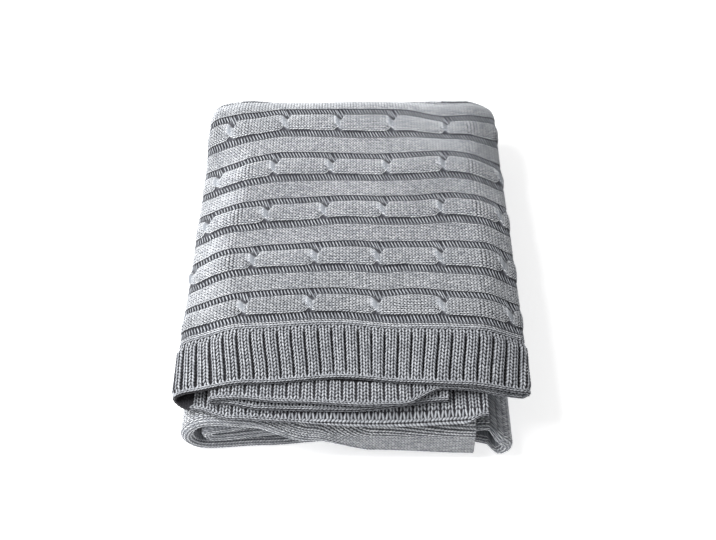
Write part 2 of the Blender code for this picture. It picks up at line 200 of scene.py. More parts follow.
def eased(x, stations, values):
    """The value at x between the rows of a table, level at each row."""
    x = np.clip(x, stations[0], stations[-1])
    row = np.clip(np.searchsorted(stations, x, side="right") - 1, 0, len(stations) - 2)
    part = smooth((x - stations[row]) / (stations[row + 1] - stations[row]))
    return values[row] + (values[row + 1] - values[row]) * part


# %% The section across the pile
def section(s, table, pitch):
    """x and z at stations s: straight runs, and half ellipses at the folds."""
    k = np.clip(np.floor(s).astype(int), 0, STATIONS - 1)
    f = s - k
    x_start, x_end, z_start, z_end, share, bulge, side = columns(table, k)
    run_x = x_start + (x_end - x_start) * f
    run_z = z_start + (z_end - z_start) * smooth(1.0 - (1.0 - f) / share)
    fold_x = x_start + side * bulge * np.sin(math.pi * f)
    fold_z = (z_start + z_end) / 2 + (z_start - z_end) / 2 * np.cos(math.pi * f)
    return np.where(side == 0, run_x, fold_x), np.where(side == 0, run_z, fold_z) * pitch


def lower_pair(s):
    """The middle of a doubled layer of the lower half, and the normal towards its outside."""
    step = 1e-5
    x, z = section(s, LOWER_SECTION, LOWER_PITCH)
    x0, z0 = section(np.clip(s - step, 0, STATIONS), LOWER_SECTION, LOWER_PITCH)
    x1, z1 = section(np.clip(s + step, 0, STATIONS), LOWER_SECTION, LOWER_PITCH)
    length = np.hypot(x1 - x0, z1 - z0)
    return x, z, -(z1 - z0) / length, (x1 - x0) / length


# %% The neat folds from front to back
def folded(s, t):
    """The sheet's middle in its neat folds, before the pile settles, at stations s and t."""
    stations, border_edge, lower_front = columns(REACH)
    edge, front = -eased(s, stations, border_edge), -eased(s, stations, lower_front)
    seam = edge + BORDER_LENGTH
    half = LOWER_PITCH / 2
    x_up, z_up = section(s, UPPER_SECTION, UPPER_PITCH)
    z_up = z_up + UPPER_BASE
    x_pair, z_pair, nx, nz = lower_pair(s)
    x_out, z_out = x_pair + half * nx, z_pair + half * nz
    x_in, z_in = x_pair - half * nx, z_pair - half * nz
    radius = (z_up - z_out) / 2
    flap = BODY_LENGTH - (BACK_Y - seam) - math.pi * radius - (BACK_Y - front) - math.pi * half
    turn = math.pi * (t - 1.0)
    curl = math.pi * (t - 3.0)
    places = [t < 0, t < 1, t < 2, t < 3, t < 4]
    x = np.select(places, [x_up, x_up, x_up + (x_out - x_up) * smooth(t - 1.0), x_out,
                           x_pair + half * nx * np.cos(curl)], x_in)
    y = np.select(places, [seam + (seam - edge) * t, seam + (BACK_Y - seam) * t,
                           BACK_Y + BACK_BULGE * radius * np.sin(turn),
                           BACK_Y + (front - BACK_Y) * (t - 2.0),
                           front - half * np.sin(curl)], front + flap * (t - 4.0))
    z = np.select(places, [z_up, z_up, (z_up + z_out) / 2 + radius * np.cos(turn), z_out,
                           z_pair + half * nz * np.cos(curl)], z_in)
    return x, y, z


# %% Hanging and settling
def hang(x, y, z):
    """Bend what lies past the brink down round an axis along X, more towards the right."""
    past = BRINK_Y - y
    height = z - BRINK_Z
    limit = HANG_ANGLE * smooth((x - HANG_START_X) / (HANG_FULL_X - HANG_START_X))
    limit = limit * smooth((HANG_FADE_TO - height) / (HANG_FADE_TO - HANG_FADE_FROM))
    angle = np.clip(past / BRINK_RADIUS, 0.0, limit)
    rest = past - angle * BRINK_RADIUS
    bent = (past > 0) & (height > 0)
    new_y = BRINK_Y - height * np.sin(angle) - rest * np.cos(angle)
    new_z = BRINK_Z + height * np.cos(angle) - rest * np.sin(angle)
    return x, np.where(bent, new_y, y), np.where(bent, new_z, z)


def settle(x, y, z):
    """Lower the pile towards its sides, front and back, leaving its underside level."""
    base = LOWER_PITCH / 2
    rows, *sides = columns(SETTLE)
    left_from, left_loss, right_from, right_loss = [eased(y, rows, side) for side in sides]
    side_from = np.where(x < 0, left_from, right_from)
    side_loss = np.where(x < 0, left_loss, right_loss)
    share = (1.0
             - side_loss * smooth((np.abs(x) - side_from) / (SIDE_TO_X - side_from))
             - FRONT_LOSS * smooth((FRONT_FROM_Y - y) / (FRONT_FROM_Y - FRONT_TO_Y))
             - BACK_LOSS * smooth((y - BACK_FROM_Y) / (BACK_TO_Y - BACK_FROM_Y))
             + WAVE_LOSS * np.sin(2 * math.pi * x / WAVE_X + 1.1) * np.cos(2 * math.pi * y / WAVE_Y))
    return x * (1.0 - FLARE * y), y, base + (z - base) * share


# %% Points and normals of the sheet
def place(s, t):
    """The sheet's middle as it lies, as an array of points."""
    return np.stack(settle(*hang(*folded(s, t))), axis=-1)


def outward(s, t, low_t):
    """Unit normals towards the cabled side, from nearby points on the sheet."""
    step = 2e-4
    s0, s1 = np.clip(s - step, 0, STATIONS), np.clip(s + step, 0, STATIONS)
    t0, t1 = np.clip(t - step, low_t, 5), np.clip(t + step, low_t, 5)
    normal = np.cross(place(s, t1) - place(s, t0), place(s1, t) - place(s0, t))
    return normal / np.linalg.norm(normal, axis=-1, keepdims=True)


# %% [markdown]
# ## Measuring along the sheet
#
# A course is a row of stitches and a wale a column of them; the cables' wales run from side to side.
# Stitches are spaced by length, so this cell turns stations into lengths and back: u is the length along
# the top half's section, and v the distance behind the border's seam. Courses are counted on a, a mean
# of both halves' sections, since the side folds are longer below.

# %% Length tables
COURSE = 0.0045
S_TABLE = np.linspace(0, STATIONS, 7001)
UPPER_STEPS = np.hypot(*[np.diff(part) for part in section(S_TABLE, UPPER_SECTION, UPPER_PITCH)])
LOWER_STEPS = np.hypot(*[np.diff(part) for part in section(S_TABLE, LOWER_SECTION, LOWER_PITCH)])
ON_FOLD = np.floor((S_TABLE[1:] + S_TABLE[:-1]) / 2) % 2 == 1
MEAN_STEPS = np.where(ON_FOLD, (UPPER_STEPS + LOWER_STEPS) / 2, UPPER_STEPS)
U_TABLE = np.concatenate(([0.0], np.cumsum(UPPER_STEPS)))
A_TABLE = np.concatenate(([0.0], np.cumsum(MEAN_STEPS)))

UPPER_LENGTH = BACK_Y + TOP_REACH - BORDER_LENGTH
TOP_RADIUS = (UPPER_BASE + 3.5 * UPPER_PITCH - 0.5 * LOWER_PITCH) / 2
FLAP_LENGTH = 0.18
V_AT_T = np.cumsum([0.0, UPPER_LENGTH, math.pi * TOP_RADIUS, BACK_Y - BRINK_Y,
                    math.pi * LOWER_PITCH / 2, FLAP_LENGTH])


def u_of(s):
    """Length along the top half's section up to station s."""
    return np.interp(s, S_TABLE, U_TABLE)


def top_x(u):
    """x on the top layer at length u."""
    return UPPER_SECTION[TOP_LAYER][0] - (u - u_of(TOP_LAYER))


def a_of(s):
    """Length on which the courses are counted, up to station s."""
    return np.interp(s, S_TABLE, A_TABLE)


def s_of_a(a):
    """Station from the length on which the courses are counted."""
    return np.interp(a, A_TABLE, S_TABLE)


def v_of(t):
    """Distance behind the seam; the border's own length is in front of it."""
    return np.where(t < 0, t * BORDER_LENGTH, np.interp(t, np.arange(6), V_AT_T))


def t_of(v):
    """Station from a distance behind the seam."""
    return np.where(v < 0, v / BORDER_LENGTH, np.interp(v, V_AT_T, np.arange(6)))


TOP_START = u_of(TOP_LAYER) + UPPER_SECTION[TOP_LAYER][0]
print("sheet", round(A_TABLE[-1], 3), "by", round(BODY_LENGTH + BORDER_LENGTH, 3), "m")

# %% [markdown]
# ## The cable pattern
#
# The knitting has bands of six wales: a raised cable, then a plain band, with a sunken valley between
# them that ladder rungs cross. The border draws it together, so the bands grow from 38 mm at the seam to
# about 50 mm at the back. In each cable three wales cross over the other three about every 83 mm, from
# the back left to the front right. A table gives the bands' bow along four wales.

# %% Bands and their bow
FIRST_VALLEY = 0.0114
FIRST_BAND = 0.0384
BAND_GROWTH = 0.00073
LAST_GROWN = 9
EVEN_BAND = FIRST_BAND + 2 * BAND_GROWTH * LAST_GROWN
VALLEY_SHARE = 0.15
BOW_W = (0.050, 0.200, 0.300, 0.420)
# x, and the bow at each of those four wales
BOW = (
    (-0.240, 0.001, 0.003, 0.002, -0.015),
    (-0.205, -0.001, -0.003, -0.003, -0.011),
    (-0.170, -0.003, -0.009, -0.010, -0.010),
    (-0.105, 0.000, 0.000, 0.000, 0.000),
    (0.025, 0.000, 0.002, 0.000, 0.000),
    (0.070, 0.005, 0.005, 0.002, -0.001),
    (0.140, 0.000, 0.0145, 0.006, -0.017),
    (0.180, -0.001, 0.010, 0.001, -0.014),
    (0.220, -0.002, 0.007, 0.003, -0.004),
)
BOW_FADE = 0.150


def v_of_band(band):
    """Distance behind the seam of a number of bands: growing bands, and even ones past the last."""
    inside = np.minimum(band, LAST_GROWN)
    past = np.clip(band - LAST_GROWN, 0.0, None)
    return FIRST_VALLEY + FIRST_BAND * inside + BAND_GROWTH * inside ** 2 + EVEN_BAND * past


def band_of(v):
    """Number of bands behind the first valley, with its fraction: even ones are cables."""
    last = v_of_band(LAST_GROWN)
    root = np.sqrt(np.clip(FIRST_BAND ** 2 + 4 * BAND_GROWTH * (v - FIRST_VALLEY), 0.0, None))
    return np.where(v < last, (root - FIRST_BAND) / (2 * BAND_GROWTH), LAST_GROWN + (v - last) / EVEN_BAND)


def bowed(u, w):
    """Distance behind the seam at which the wale w really lies, from the bows of four wales."""
    x_rows, *wales = columns(BOW)
    seam, middle, rear, back = [eased(top_x(u), x_rows, wale) for wale in wales]
    bow = seam * smooth(w / BOW_W[0])
    for step, w_from, w_to in zip((middle - seam, rear - middle, back - rear), BOW_W, BOW_W[1:]):
        bow = bow + step * smooth((w - w_from) / (w_to - w_from))
    return w + bow * (1.0 - smooth((w - V_AT_T[2]) / BOW_FADE))


# %% Crossings and heights
CABLE_RISE = 0.0042
PLAIN_RISE = 0.0008
VALLEY_DROP = 0.0028
VALLEY_LEAN = 0.035
VALLEY_DEEP = 0.78
CROSSING_HALF = 0.0095
CROSSING_LIFT = 0.0024
CROSSING_SINK = 0.0012
CROSSING_SPREAD = 0.16
BACK_NOTCH = 0.70
FRONT_NOTCH = 0.12
NOTCH_HALF = 0.0075
NOTCH_SHIFT = 0.0045
# x of the middle crossing, and the pitch, for each cable from the front
CROSSINGS = (
    (0.0265, 0.0872),
    (0.0290, 0.0850),
    (0.0374, 0.0832),
    (0.0452, 0.0838),
    (0.0547, 0.0828),
    (0.0620, 0.0828),
)


def crossing_phase(u, number):
    """Signed distance along the cable from its nearest crossing, growing to the left."""
    k = np.clip(number // 2, 0, len(CROSSINGS) - 1).astype(int)
    middle_x, pitch = columns(CROSSINGS, k)
    return np.mod(u - (TOP_START - middle_x) + pitch / 2, pitch) - pitch / 2


def crossing_part(u, number):
    """How far the strands have changed places, 0 to 1 leftwards, and 1 at the crossing itself."""
    q = smooth(crossing_phase(u, number) / (2 * CROSSING_HALF) + 0.5)
    return q, 4.0 * q * (1.0 - q)


def across_band(w, number):
    """Place across a band, -1 at its front edge and 1 at its back edge, past which valleys lie."""
    return (band_of(w) - number - 0.5) / (0.5 - VALLEY_SHARE)


def front_strand(u, number):
    """Middle of the strand in front, across the cable: in front to the right, at the back to the left."""
    return crossing_part(u, number)[0] - 0.5


def cable_edge(u, number, shown, side):
    """Half width of a cable towards its back (side 1) or front (-1), as a share of its full one.

    A notch lies beside each crossing, right of it at the back edge and left of it at the front edge, and
    never cuts the strand in front.
    """
    phase = crossing_phase(u, number)
    depth = np.where(np.asarray(side) > 0, BACK_NOTCH, FRONT_NOTCH)
    notch = depth * smooth(1.0 - np.abs(phase + side * NOTCH_SHIFT) / NOTCH_HALF) * shown
    return np.maximum(1.0 - notch, side * front_strand(u, number) + 0.5 + CROSSING_SPREAD / 2)


def ground_relief(u, w, shown):
    """Height of the ground cloth under the stitches: domed cables, notched at crossings, and valleys."""
    band = band_of(w)
    number = np.floor(band)
    across = across_band(w, number)
    across = across / cable_edge(u, number, shown, np.where(across < 0, -1.0, 1.0))
    near = crossing_part(u, number)[1]
    rope = (CABLE_RISE - CROSSING_SINK * near) * rounded(across)
    from_deepest = (band - np.round(band) - VALLEY_LEAN) / (VALLEY_SHARE * VALLEY_DEEP)
    valley = VALLEY_DROP * np.exp(-from_deepest ** 4)
    return (np.where(number % 2 == 0, rope, 0.0) + PLAIN_RISE - valley) * shown


# %% [markdown]
# ## Where the relief and the stitches show
#
# Inside the pile nothing of the pattern shows, so relief and solid stitches are kept to the outside:
# the top layer, the side folds, the back fold, the front folds and the hanging front.

# %% Shown parts of the sheet
RELIEF_IN_S = (3.45, 3.90)
RELIEF_OUT_S = (5.15, 5.60)
RELIEF_OUT_T = (1.82, 1.97)
RELIEF_IN_V = 0.006
BACK_STITCHES_TO = 2.05
SIDE_STITCHES = (4.08, 4.94)
LOW_FRONT_FROM = 2.93
LOW_FRONT_TO = 3.7
HANGING_FROM = 2.80


def fade(x, span):
    """0 before a span and 1 after it."""
    return smooth((x - span[0]) / (span[1] - span[0]))


def shown_relief(s, t, w):
    """1 where the cable relief stands up in full, fading to 0 at the side folds and underneath."""
    on_top = fade(s, RELIEF_IN_S) * (1.0 - fade(s, RELIEF_OUT_S))
    return on_top * (1.0 - fade(t, RELIEF_OUT_T)) * smooth(w / RELIEF_IN_V)


def shown_at(flat):
    """The same for flat places (length, distance, height)."""
    return shown_relief(s_of_a(flat[..., 0]), t_of(flat[..., 1]), flat[..., 1])


def has_stitches(s, t):
    """True where the outside of the body shows and gets solid stitches."""
    outer_layers = (s > 3.0) & (s < 6.0)
    over_top = outer_layers & (t < BACK_STITCHES_TO)
    side_folds = outer_layers & ((s < SIDE_STITCHES[0]) | (s > SIDE_STITCHES[1])) & (t < 4.0)
    low_front = (t > LOW_FRONT_FROM) & (t < np.where(s < 3.0, LOW_FRONT_TO, 4.0))
    hanging = (s >= 6.0) & (t > HANGING_FROM) & (t < 4.0)
    return over_top | side_folds | low_front | hanging


# %% [markdown]
# ## The ground sheets
#
# The body of the throw is one closed sheet, and the ribbed border a second one that meets it at the
# seam. A fine grid over the flat sheet is carried to the pile for both faces and closed along its rim.
# Each vertex keeps its flat place as UV, in metres, so that the knitting drawn by the material runs
# along the cloth and turns with its folds.

# %% Mesh helper for closed sheets
def fill_mesh(name, points, faces, uv, values):
    """A smooth mesh from arrays: points, quads or triangles, a UV for each point, point values."""
    mesh = bpy.data.meshes.new(name)
    sizes = np.concatenate([np.full(len(part), part.shape[1]) for part in faces])
    corners = np.concatenate([part.ravel() for part in faces]).astype(np.int32)
    starts = np.concatenate(([0], np.cumsum(sizes)[:-1])).astype(np.int32)
    mesh.vertices.add(len(points))
    mesh.loops.add(len(corners))
    mesh.polygons.add(len(sizes))
    mesh.vertices.foreach_set("co", points.astype(np.float32).ravel())
    mesh.loops.foreach_set("vertex_index", corners)
    mesh.polygons.foreach_set("loop_start", starts)
    mesh.polygons.foreach_set("use_smooth", np.ones(len(sizes), dtype=bool))
    mesh.uv_layers.new(name="flat").data.foreach_set("uv", uv[corners].astype(np.float32).ravel())
    for key, value in values.items():
        mesh.attributes.new(key, "FLOAT", "POINT").data.foreach_set("value", value.astype(np.float32))
    mesh.update(calc_edges=True)
    piece = bpy.data.objects.new(name, mesh)
    bpy.context.scene.collection.objects.link(piece)
    return piece


def grid_quads(rows, columns):
    """Quads of a grid whose points are counted row by row."""
    first = (np.arange(rows - 1)[:, None] * columns + np.arange(columns - 1)).ravel()
    return np.stack([first, first + columns, first + columns + 1, first + 1], axis=-1)


def closed_quads(rows, columns):
    """Quads of an outer and an inner grid joined round their rim, facing outwards."""
    quads = grid_quads(rows, columns)
    count = rows * columns
    index = np.arange(count).reshape(rows, columns)
    rim = np.concatenate([index[:, 0], index[-1, 1:], index[-2::-1, -1], index[0, -2:0:-1]])
    following = np.roll(rim, -1)
    wall = np.stack([rim, rim + count, following + count, following], axis=-1)
    return np.concatenate([quads[:, ::-1], quads + count, wall[:, ::-1]])


def closed_sheet(name, s_rows, t_rows, outer, inner, uv, values):
    """A closed sheet from the points of its outer and inner faces."""
    faces = [closed_quads(len(s_rows), len(t_rows))]
    return fill_mesh(name, np.concatenate([outer, inner]), faces, np.concatenate([uv, uv]), values)


# %% Rows of the ground grid
RUN_STEPS = (14, 8, 14, 16, 84, 20, 26)
STEP_CROWDING = 0.55
BAND_ROWS = np.array((0.0, 0.06, 0.13, 0.18, 0.25, 0.38, 0.50, 0.62, 0.75, 0.82, 0.87, 0.94))
LOWER_ROWS = np.array((0.0, 0.10, 0.22, 0.34, 0.46, 0.58, 0.68, 0.76, 0.83, 0.86, 0.885, 0.91, 0.93,
                       0.95, 0.965, 0.98))
FOLD_ROWS = np.arange(8) / 8
FLAP_ROWS = np.array((0.0, 0.10, 0.19, 0.28, 0.42, 0.60, 0.80, 1.0))
END_ROW_GAP = 0.0012


def station_rows():
    """Stations s of the grid, closer together beside the side folds."""
    parts = []
    for k, count in enumerate(RUN_STEPS):
        part = np.arange(count) / count
        crowding = STEP_CROWDING if k % 2 == 0 else 0.0
        parts.append(k + part - crowding * np.sin(2 * math.pi * part) / (2 * math.pi))
    return np.append(np.concatenate(parts), STATIONS)


def body_rows():
    """Distances w of the grid: the bands' own rows over the top and back, wider ones below."""
    bands = np.arange(-1, math.ceil(band_of(V_AT_T[2])) + 1)
    w = v_of_band((bands[:, None] + BAND_ROWS).ravel())
    w = w[(w > END_ROW_GAP) & (w < V_AT_T[2] - END_ROW_GAP)]
    return np.concatenate([[0.0], w, v_of(np.concatenate([2 + LOWER_ROWS, 3 + FOLD_ROWS, 4 + FLAP_ROWS]))])


S_ROWS = station_rows()
W_ROWS = body_rows()
print("ground grid", len(S_ROWS), "by", len(W_ROWS))

# %% The body's ground sheet
GROUND_SINK = 0.0010
# Less sink and lighter painted shade under the stitches at valley fronts and over the lower half.
LIT_FRONT = 0.70
LIT_PLACE = 0.085
LIT_WIDTH = 0.055
LOW_COVER_AND_SHADE = 0.40
LOW_COVER_AND_SHADE_FROM = 2.5


def valley_front(w):
    """1 at a valley's front edge, where the ground sinks less and has less painted shade, and 0 away from it.
    """
    band = band_of(w)
    return np.exp(-((band - np.round(band) + LIT_PLACE) / LIT_WIDTH) ** 2)


def body_faces():
    """Points of both faces of the body's sheet before the shift, with UV and painted shade."""
    s, w = pairs(S_ROWS, W_ROWS)
    u = u_of(s)
    t = t_of(bowed(u, w))
    middle, normal = place(s, t), outward(s, t, 0.0)
    relief = ground_relief(u, w, shown_relief(s, t, w))
    # Where solid stitches lie the ground sinks, and this same mask paints it dark as the shade between them.
    cover_and_painted_shade = has_stitches(s, t) * (1.0 - LIT_FRONT * valley_front(w))
    cover_and_painted_shade = cover_and_painted_shade * np.where(t > LOW_COVER_AND_SHADE_FROM, LOW_COVER_AND_SHADE, 1.0)
    outer = middle + normal * (CLOTH / 2 + relief - GROUND_SINK * cover_and_painted_shade)[:, None]
    inner = middle - normal * CLOTH / 2
    return outer, inner, np.stack([a_of(s), w], axis=-1), cover_and_painted_shade


BODY_OUTER, BODY_INNER, BODY_UV, BODY_COVER_AND_SHADE = body_faces()
OWN_POINTS = np.concatenate([BODY_OUTER, BODY_INNER])
NODE_LOW, NODE_HIGH = np.array(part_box("cable_body"))
OWN_LOW, OWN_HIGH = OWN_POINTS.min(axis=0), OWN_POINTS.max(axis=0)
SHIFT = (NODE_LOW + NODE_HIGH) / 2 - (OWN_LOW + OWN_HIGH) / 2
SHIFT[2] = NODE_LOW[2] - OWN_LOW[2]
print("shift to the CAD frame", SHIFT.round(5).tolist())
print("own size", (OWN_HIGH - OWN_LOW).round(4).tolist(), "node", (NODE_HIGH - NODE_LOW).round(4).tolist())

body_sheet = closed_sheet("body_ground", S_ROWS, W_ROWS, BODY_OUTER + SHIFT, BODY_INNER + SHIFT, BODY_UV,
                          {"cover_and_painted_shade": np.concatenate([BODY_COVER_AND_SHADE, np.zeros(len(BODY_COVER_AND_SHADE))])})

# %% [markdown]
# ## The ribbed border
#
# The border's wales run from front to back, at right angles to the body's: two raised columns and then
# a deep gap, every 17.4 mm. The gaps close up in two plain courses next to the seam and in a narrow band
# at the free edge. On the top layer the ribs lean inwards a little towards the front.

# %% Rib sizes and relief
RIB_PITCH = 0.0174
RIB_RISE = 0.0034
RIB_GAP_PLACE = 0.75
RIB_GAP_HALF = 0.0018
RIB_GAP_DROP = 0.0022
SEAM_BAND = 0.0095
EDGE_BAND = 0.008
RIB_FADE = 0.006
HIDDEN_SHARE = 0.4
# x, lean
LEAN = (
    (-0.260, 0.000),
    (-0.215, 0.004),
    (-0.175, 0.008),
    (-0.130, 0.009),
    (-0.050, 0.006),
    (0.000, 0.002),
    (0.050, -0.003),
    (0.110, -0.007),
    (0.180, -0.008),
    (0.220, -0.006),
    (0.275, 0.000),
)


def rib_lean(u, v):
    """How far a rib has shifted along u at distance v, from the lean at the free edge."""
    return -eased(top_x(u), *columns(LEAN)) * smooth(-v / BORDER_LENGTH)


def rib_open(v):
    """1 where the gaps between ribs are open, 0 in the plain bands at the seam and the edge."""
    return (smooth((-v - SEAM_BAND + RIB_FADE / 2) / RIB_FADE)
            * smooth((BORDER_LENGTH + v - EDGE_BAND + RIB_FADE / 2) / RIB_FADE))


def rib_relief(u, v, side):
    """Height of the border's ground: rounded ribs with narrow deep gaps, which change places inside."""
    turn = RIB_GAP_PLACE if side > 0 else RIB_GAP_PLACE - 0.5
    place_in = np.mod((u - rib_lean(u, v)) / RIB_PITCH - turn, 1.0)
    to_gap = np.minimum(place_in, 1.0 - place_in) * RIB_PITCH
    crown = RIB_RISE * rounded(1.0 - 2 * to_gap / RIB_PITCH)
    gap = RIB_GAP_DROP * np.exp(-(to_gap / RIB_GAP_HALF) ** 4)
    return rib_open(v) * (crown - gap)


# %% The border's ground sheet
BORDER_ROWS = -np.array((81.0, 79.5, 77.5, 75.0, 72.0, 69.0, 60.0, 50.0, 40.0, 30.0, 20.0, 15.0, 12.0, 9.0,
                         5.0, 2.0, 0.3)) / 1000
RIB_COLUMNS = 9
FULL_RIBS_ON_FOLD = (5.2, 5.8)
PAINTED_SHADE_RECESS_FROM = 4.9


def border_faces():
    """Points of both faces of the border's sheet, with UV and painted shade, on columns that follow ribs."""
    count = math.ceil(U_TABLE[-1] / RIB_PITCH * RIB_COLUMNS)
    u_line = np.clip(np.arange(count + 1) * RIB_PITCH / RIB_COLUMNS, 0.0, U_TABLE[-1])
    s_line = np.unique(np.round(np.concatenate([np.interp(u_line, U_TABLE, S_TABLE), np.arange(8.0)]), 6))
    s, v = pairs(s_line, BORDER_ROWS)
    middle, normal = place(s, v / BORDER_LENGTH), outward(s, v / BORDER_LENGTH, -1.0)
    free = (s > 4.0) & (s < 5.0) | (s > FULL_RIBS_ON_FOLD[0]) & (s < FULL_RIBS_ON_FOLD[1])
    share = np.where(free, 1.0, HIDDEN_SHARE)
    outer = middle + normal * (BORDER_CLOTH / 2 + rib_relief(u_of(s), v, 1) * share - GROUND_SINK)[:, None]
    inner = middle - normal * (BORDER_CLOTH / 2 + rib_relief(u_of(s), v, -1) * HIDDEN_SHARE)[:, None]
    # Painted shade: outside where rib stitches lie, and inside where they lie and in the recess of the left
    # fold.
    outside = ((s > 3.0) & (s < 6.0) | (s < 1.5)).astype(float)
    inside = ((s > 1.5) & (s < 3.0) | (s > PAINTED_SHADE_RECESS_FROM)).astype(float)
    return s_line, outer, inner, np.stack([a_of(s), v], axis=-1), np.concatenate([outside, inside])


RIB_S, RIB_OUTER, RIB_INNER, RIB_UV, RIB_PAINTED_SHADE = border_faces()
border_sheet = closed_sheet("border_ground", RIB_S, BORDER_ROWS, RIB_OUTER + SHIFT, RIB_INNER + SHIFT,
                            RIB_UV, {"cover_and_painted_shade": RIB_PAINTED_SHADE})
print("border columns", len(RIB_S))

# %% [markdown]
# ## One leg of yarn
#
# A knitted stitch seen from its smooth side is a V, two legs of yarn side by side, each tucked under
# the next one. One long tube of yarn would be exact and far too heavy. Each leg is a small closed solid
# instead: a tail point, two rings of four corners and a head point, 16 triangles that smooth shading
# makes round. Thousands of them are made at once from arrays.

# %% The leg solid
RINGS = ((0.30, 0.92), (0.72, 1.00))
CORNERS = ((-1.0, 0.0), (0.0, 1.0), (1.0, 0.0), (0.0, -0.8))


def leg_template():
    """Along, across and rise of the ten points of a leg, and its triangles and quads."""
    points = [(0.0, 0.0, 0.0)]
    for along, scale in RINGS:
        points.extend((along, across * scale, rise * scale) for across, rise in CORNERS)
    points.append((1.0, 0.0, 0.0))
    turn = np.arange(4)
    following = (turn + 1) % 4
    tail = np.stack([np.zeros(4, int), turn + 1, following + 1], axis=-1)
    head = np.stack([np.full(4, 9), following + 5, turn + 5], axis=-1)
    ring = np.stack([turn + 1, turn + 5, following + 5, following + 1], axis=-1)
    return np.array(points), np.concatenate([tail, head]), ring


TEMPLATE, LEG_TRIANGLES, LEG_QUADS = leg_template()
LEG_SIZE = len(TEMPLATE)
LEG_FACES = len(LEG_TRIANGLES) + 2 * len(LEG_QUADS)
print("triangles in a leg:", LEG_FACES)


def leg_points(tail, head, wide, high, arch):
    """Flat places (length, distance, height) of all legs' points.

    A point is the tail plus its share of the way to the head, moved across by its share of the width,
    and up by its share of the height and by an arch that is highest half way.
    """
    along, across, rise = TEMPLATE.T
    way = head - tail
    length = np.hypot(way[:, 0], way[:, 1])[:, None]
    side = np.stack([-way[:, 1:2] / length, way[:, 0:1] / length], axis=-1)
    flat = tail[:, None, :2] + way[:, None, :2] * along[None, :, None]
    flat = flat + side * (across * np.reshape(wide, (-1, 1)))[:, :, None]
    up = tail[:, None, 2] + way[:, None, 2] * along + rise * np.reshape(high, (-1, 1))
    up = up + np.reshape(arch, (-1, 1)) * 4 * along * (1 - along)
    return np.concatenate([flat, up[:, :, None]], axis=-1)


# %% [markdown]
# ## Laying legs on the pile
#
# A leg is carried to the pile point by point, so it bends with the cloth, and stands along the normal
# at its own middle. Each leg also keeps two numbers for the material: its tone, a little lighter or
# darker than the next, and its crown, which is 1 on its top and 0 where it is tucked in and gets painted
# shade.

# %% Lay and build
RANDOM = np.random.default_rng(20)
FLOOR_GAP = 0.0001


def lay(flat, side, low_t, thickness):
    """Points in the pile from flat places, along the normals at the middles of the legs.

    Distances behind the seam are bowed first, and nothing goes below the floor.
    """
    a, w, h = flat[..., 0], flat[..., 1], flat[..., 2]
    s, s_mid = s_of_a(a), s_of_a(a.mean(axis=1))
    t = t_of(bowed(u_of(s), w))
    t_mid = t_of(bowed(u_of(s_mid), w.mean(axis=1)))
    normal = outward(s_mid, t_mid, low_t)[:, None, :]
    points = place(s, t) + normal * (side * (thickness / 2 + h))[..., None] + SHIFT
    points[..., 2] = np.maximum(points[..., 2], FLOOR_GAP)
    return points


def leg_piece(name, flat, points):
    """One mesh of all the legs in points."""
    count = len(points)
    shift = (np.arange(count) * LEG_SIZE)[:, None, None]
    faces = [(LEG_TRIANGLES + shift).reshape(-1, 3), (LEG_QUADS + shift).reshape(-1, 4)]
    tone = np.repeat(RANDOM.uniform(0.0, 1.0, count), LEG_SIZE)
    # 1 on a leg's top and 0 on its sides and ends, which the material paints with shade
    crown = np.tile(np.clip(TEMPLATE[:, 2], 0.0, 1.0), count)
    uv = np.stack([flat[..., 0].ravel(), flat[..., 1].ravel()], axis=-1)
    piece = fill_mesh(name, points.reshape(-1, 3), faces, uv, {"tone": tone, "crown": crown})
    print(name, count, "legs", count * LEG_FACES, "triangles")
    return piece


# %% [markdown]
# ## The wales of the body
#
# The flat layout is a list of six wales for each band, each with its distance from the seam and its
# width, and of courses along the whole sheet. In a cable the wales are then moved: the strand in front
# swings from the back to the front edge of the cable and rises, and the other one dips under it.

# %% Wales and courses
WALES_EACH = 6
EVEN_WALE = 0.0062
FIRST_WALE = 0.002
LOBE_HALF = 0.6


def wale_table():
    """Distance behind the seam, width and band number of every knit wale on the body.

    Past the back fold the bands don't show, so the wales of the lower half are evenly spaced.
    """
    part = VALLEY_SHARE + (1.0 - 2 * VALLEY_SHARE) * (np.arange(WALES_EACH) + 0.5) / WALES_EACH
    numbers = np.arange(-1, math.ceil(band_of(v_of(2.6))))
    band = (numbers[:, None] + part).ravel()
    half = (0.5 - VALLEY_SHARE) / WALES_EACH
    w, width = v_of_band(band), v_of_band(band + half) - v_of_band(band - half)
    even = np.arange(v_of_band(numbers[-1] + 1), V_AT_T[4], EVEN_WALE)
    w, width = np.concatenate([w, even]), np.concatenate([width, np.full(len(even), EVEN_WALE)])
    number = np.concatenate([np.floor(band), np.full(len(even), -1.0)])
    shown = w > FIRST_WALE
    return w[shown], width[shown], number[shown]


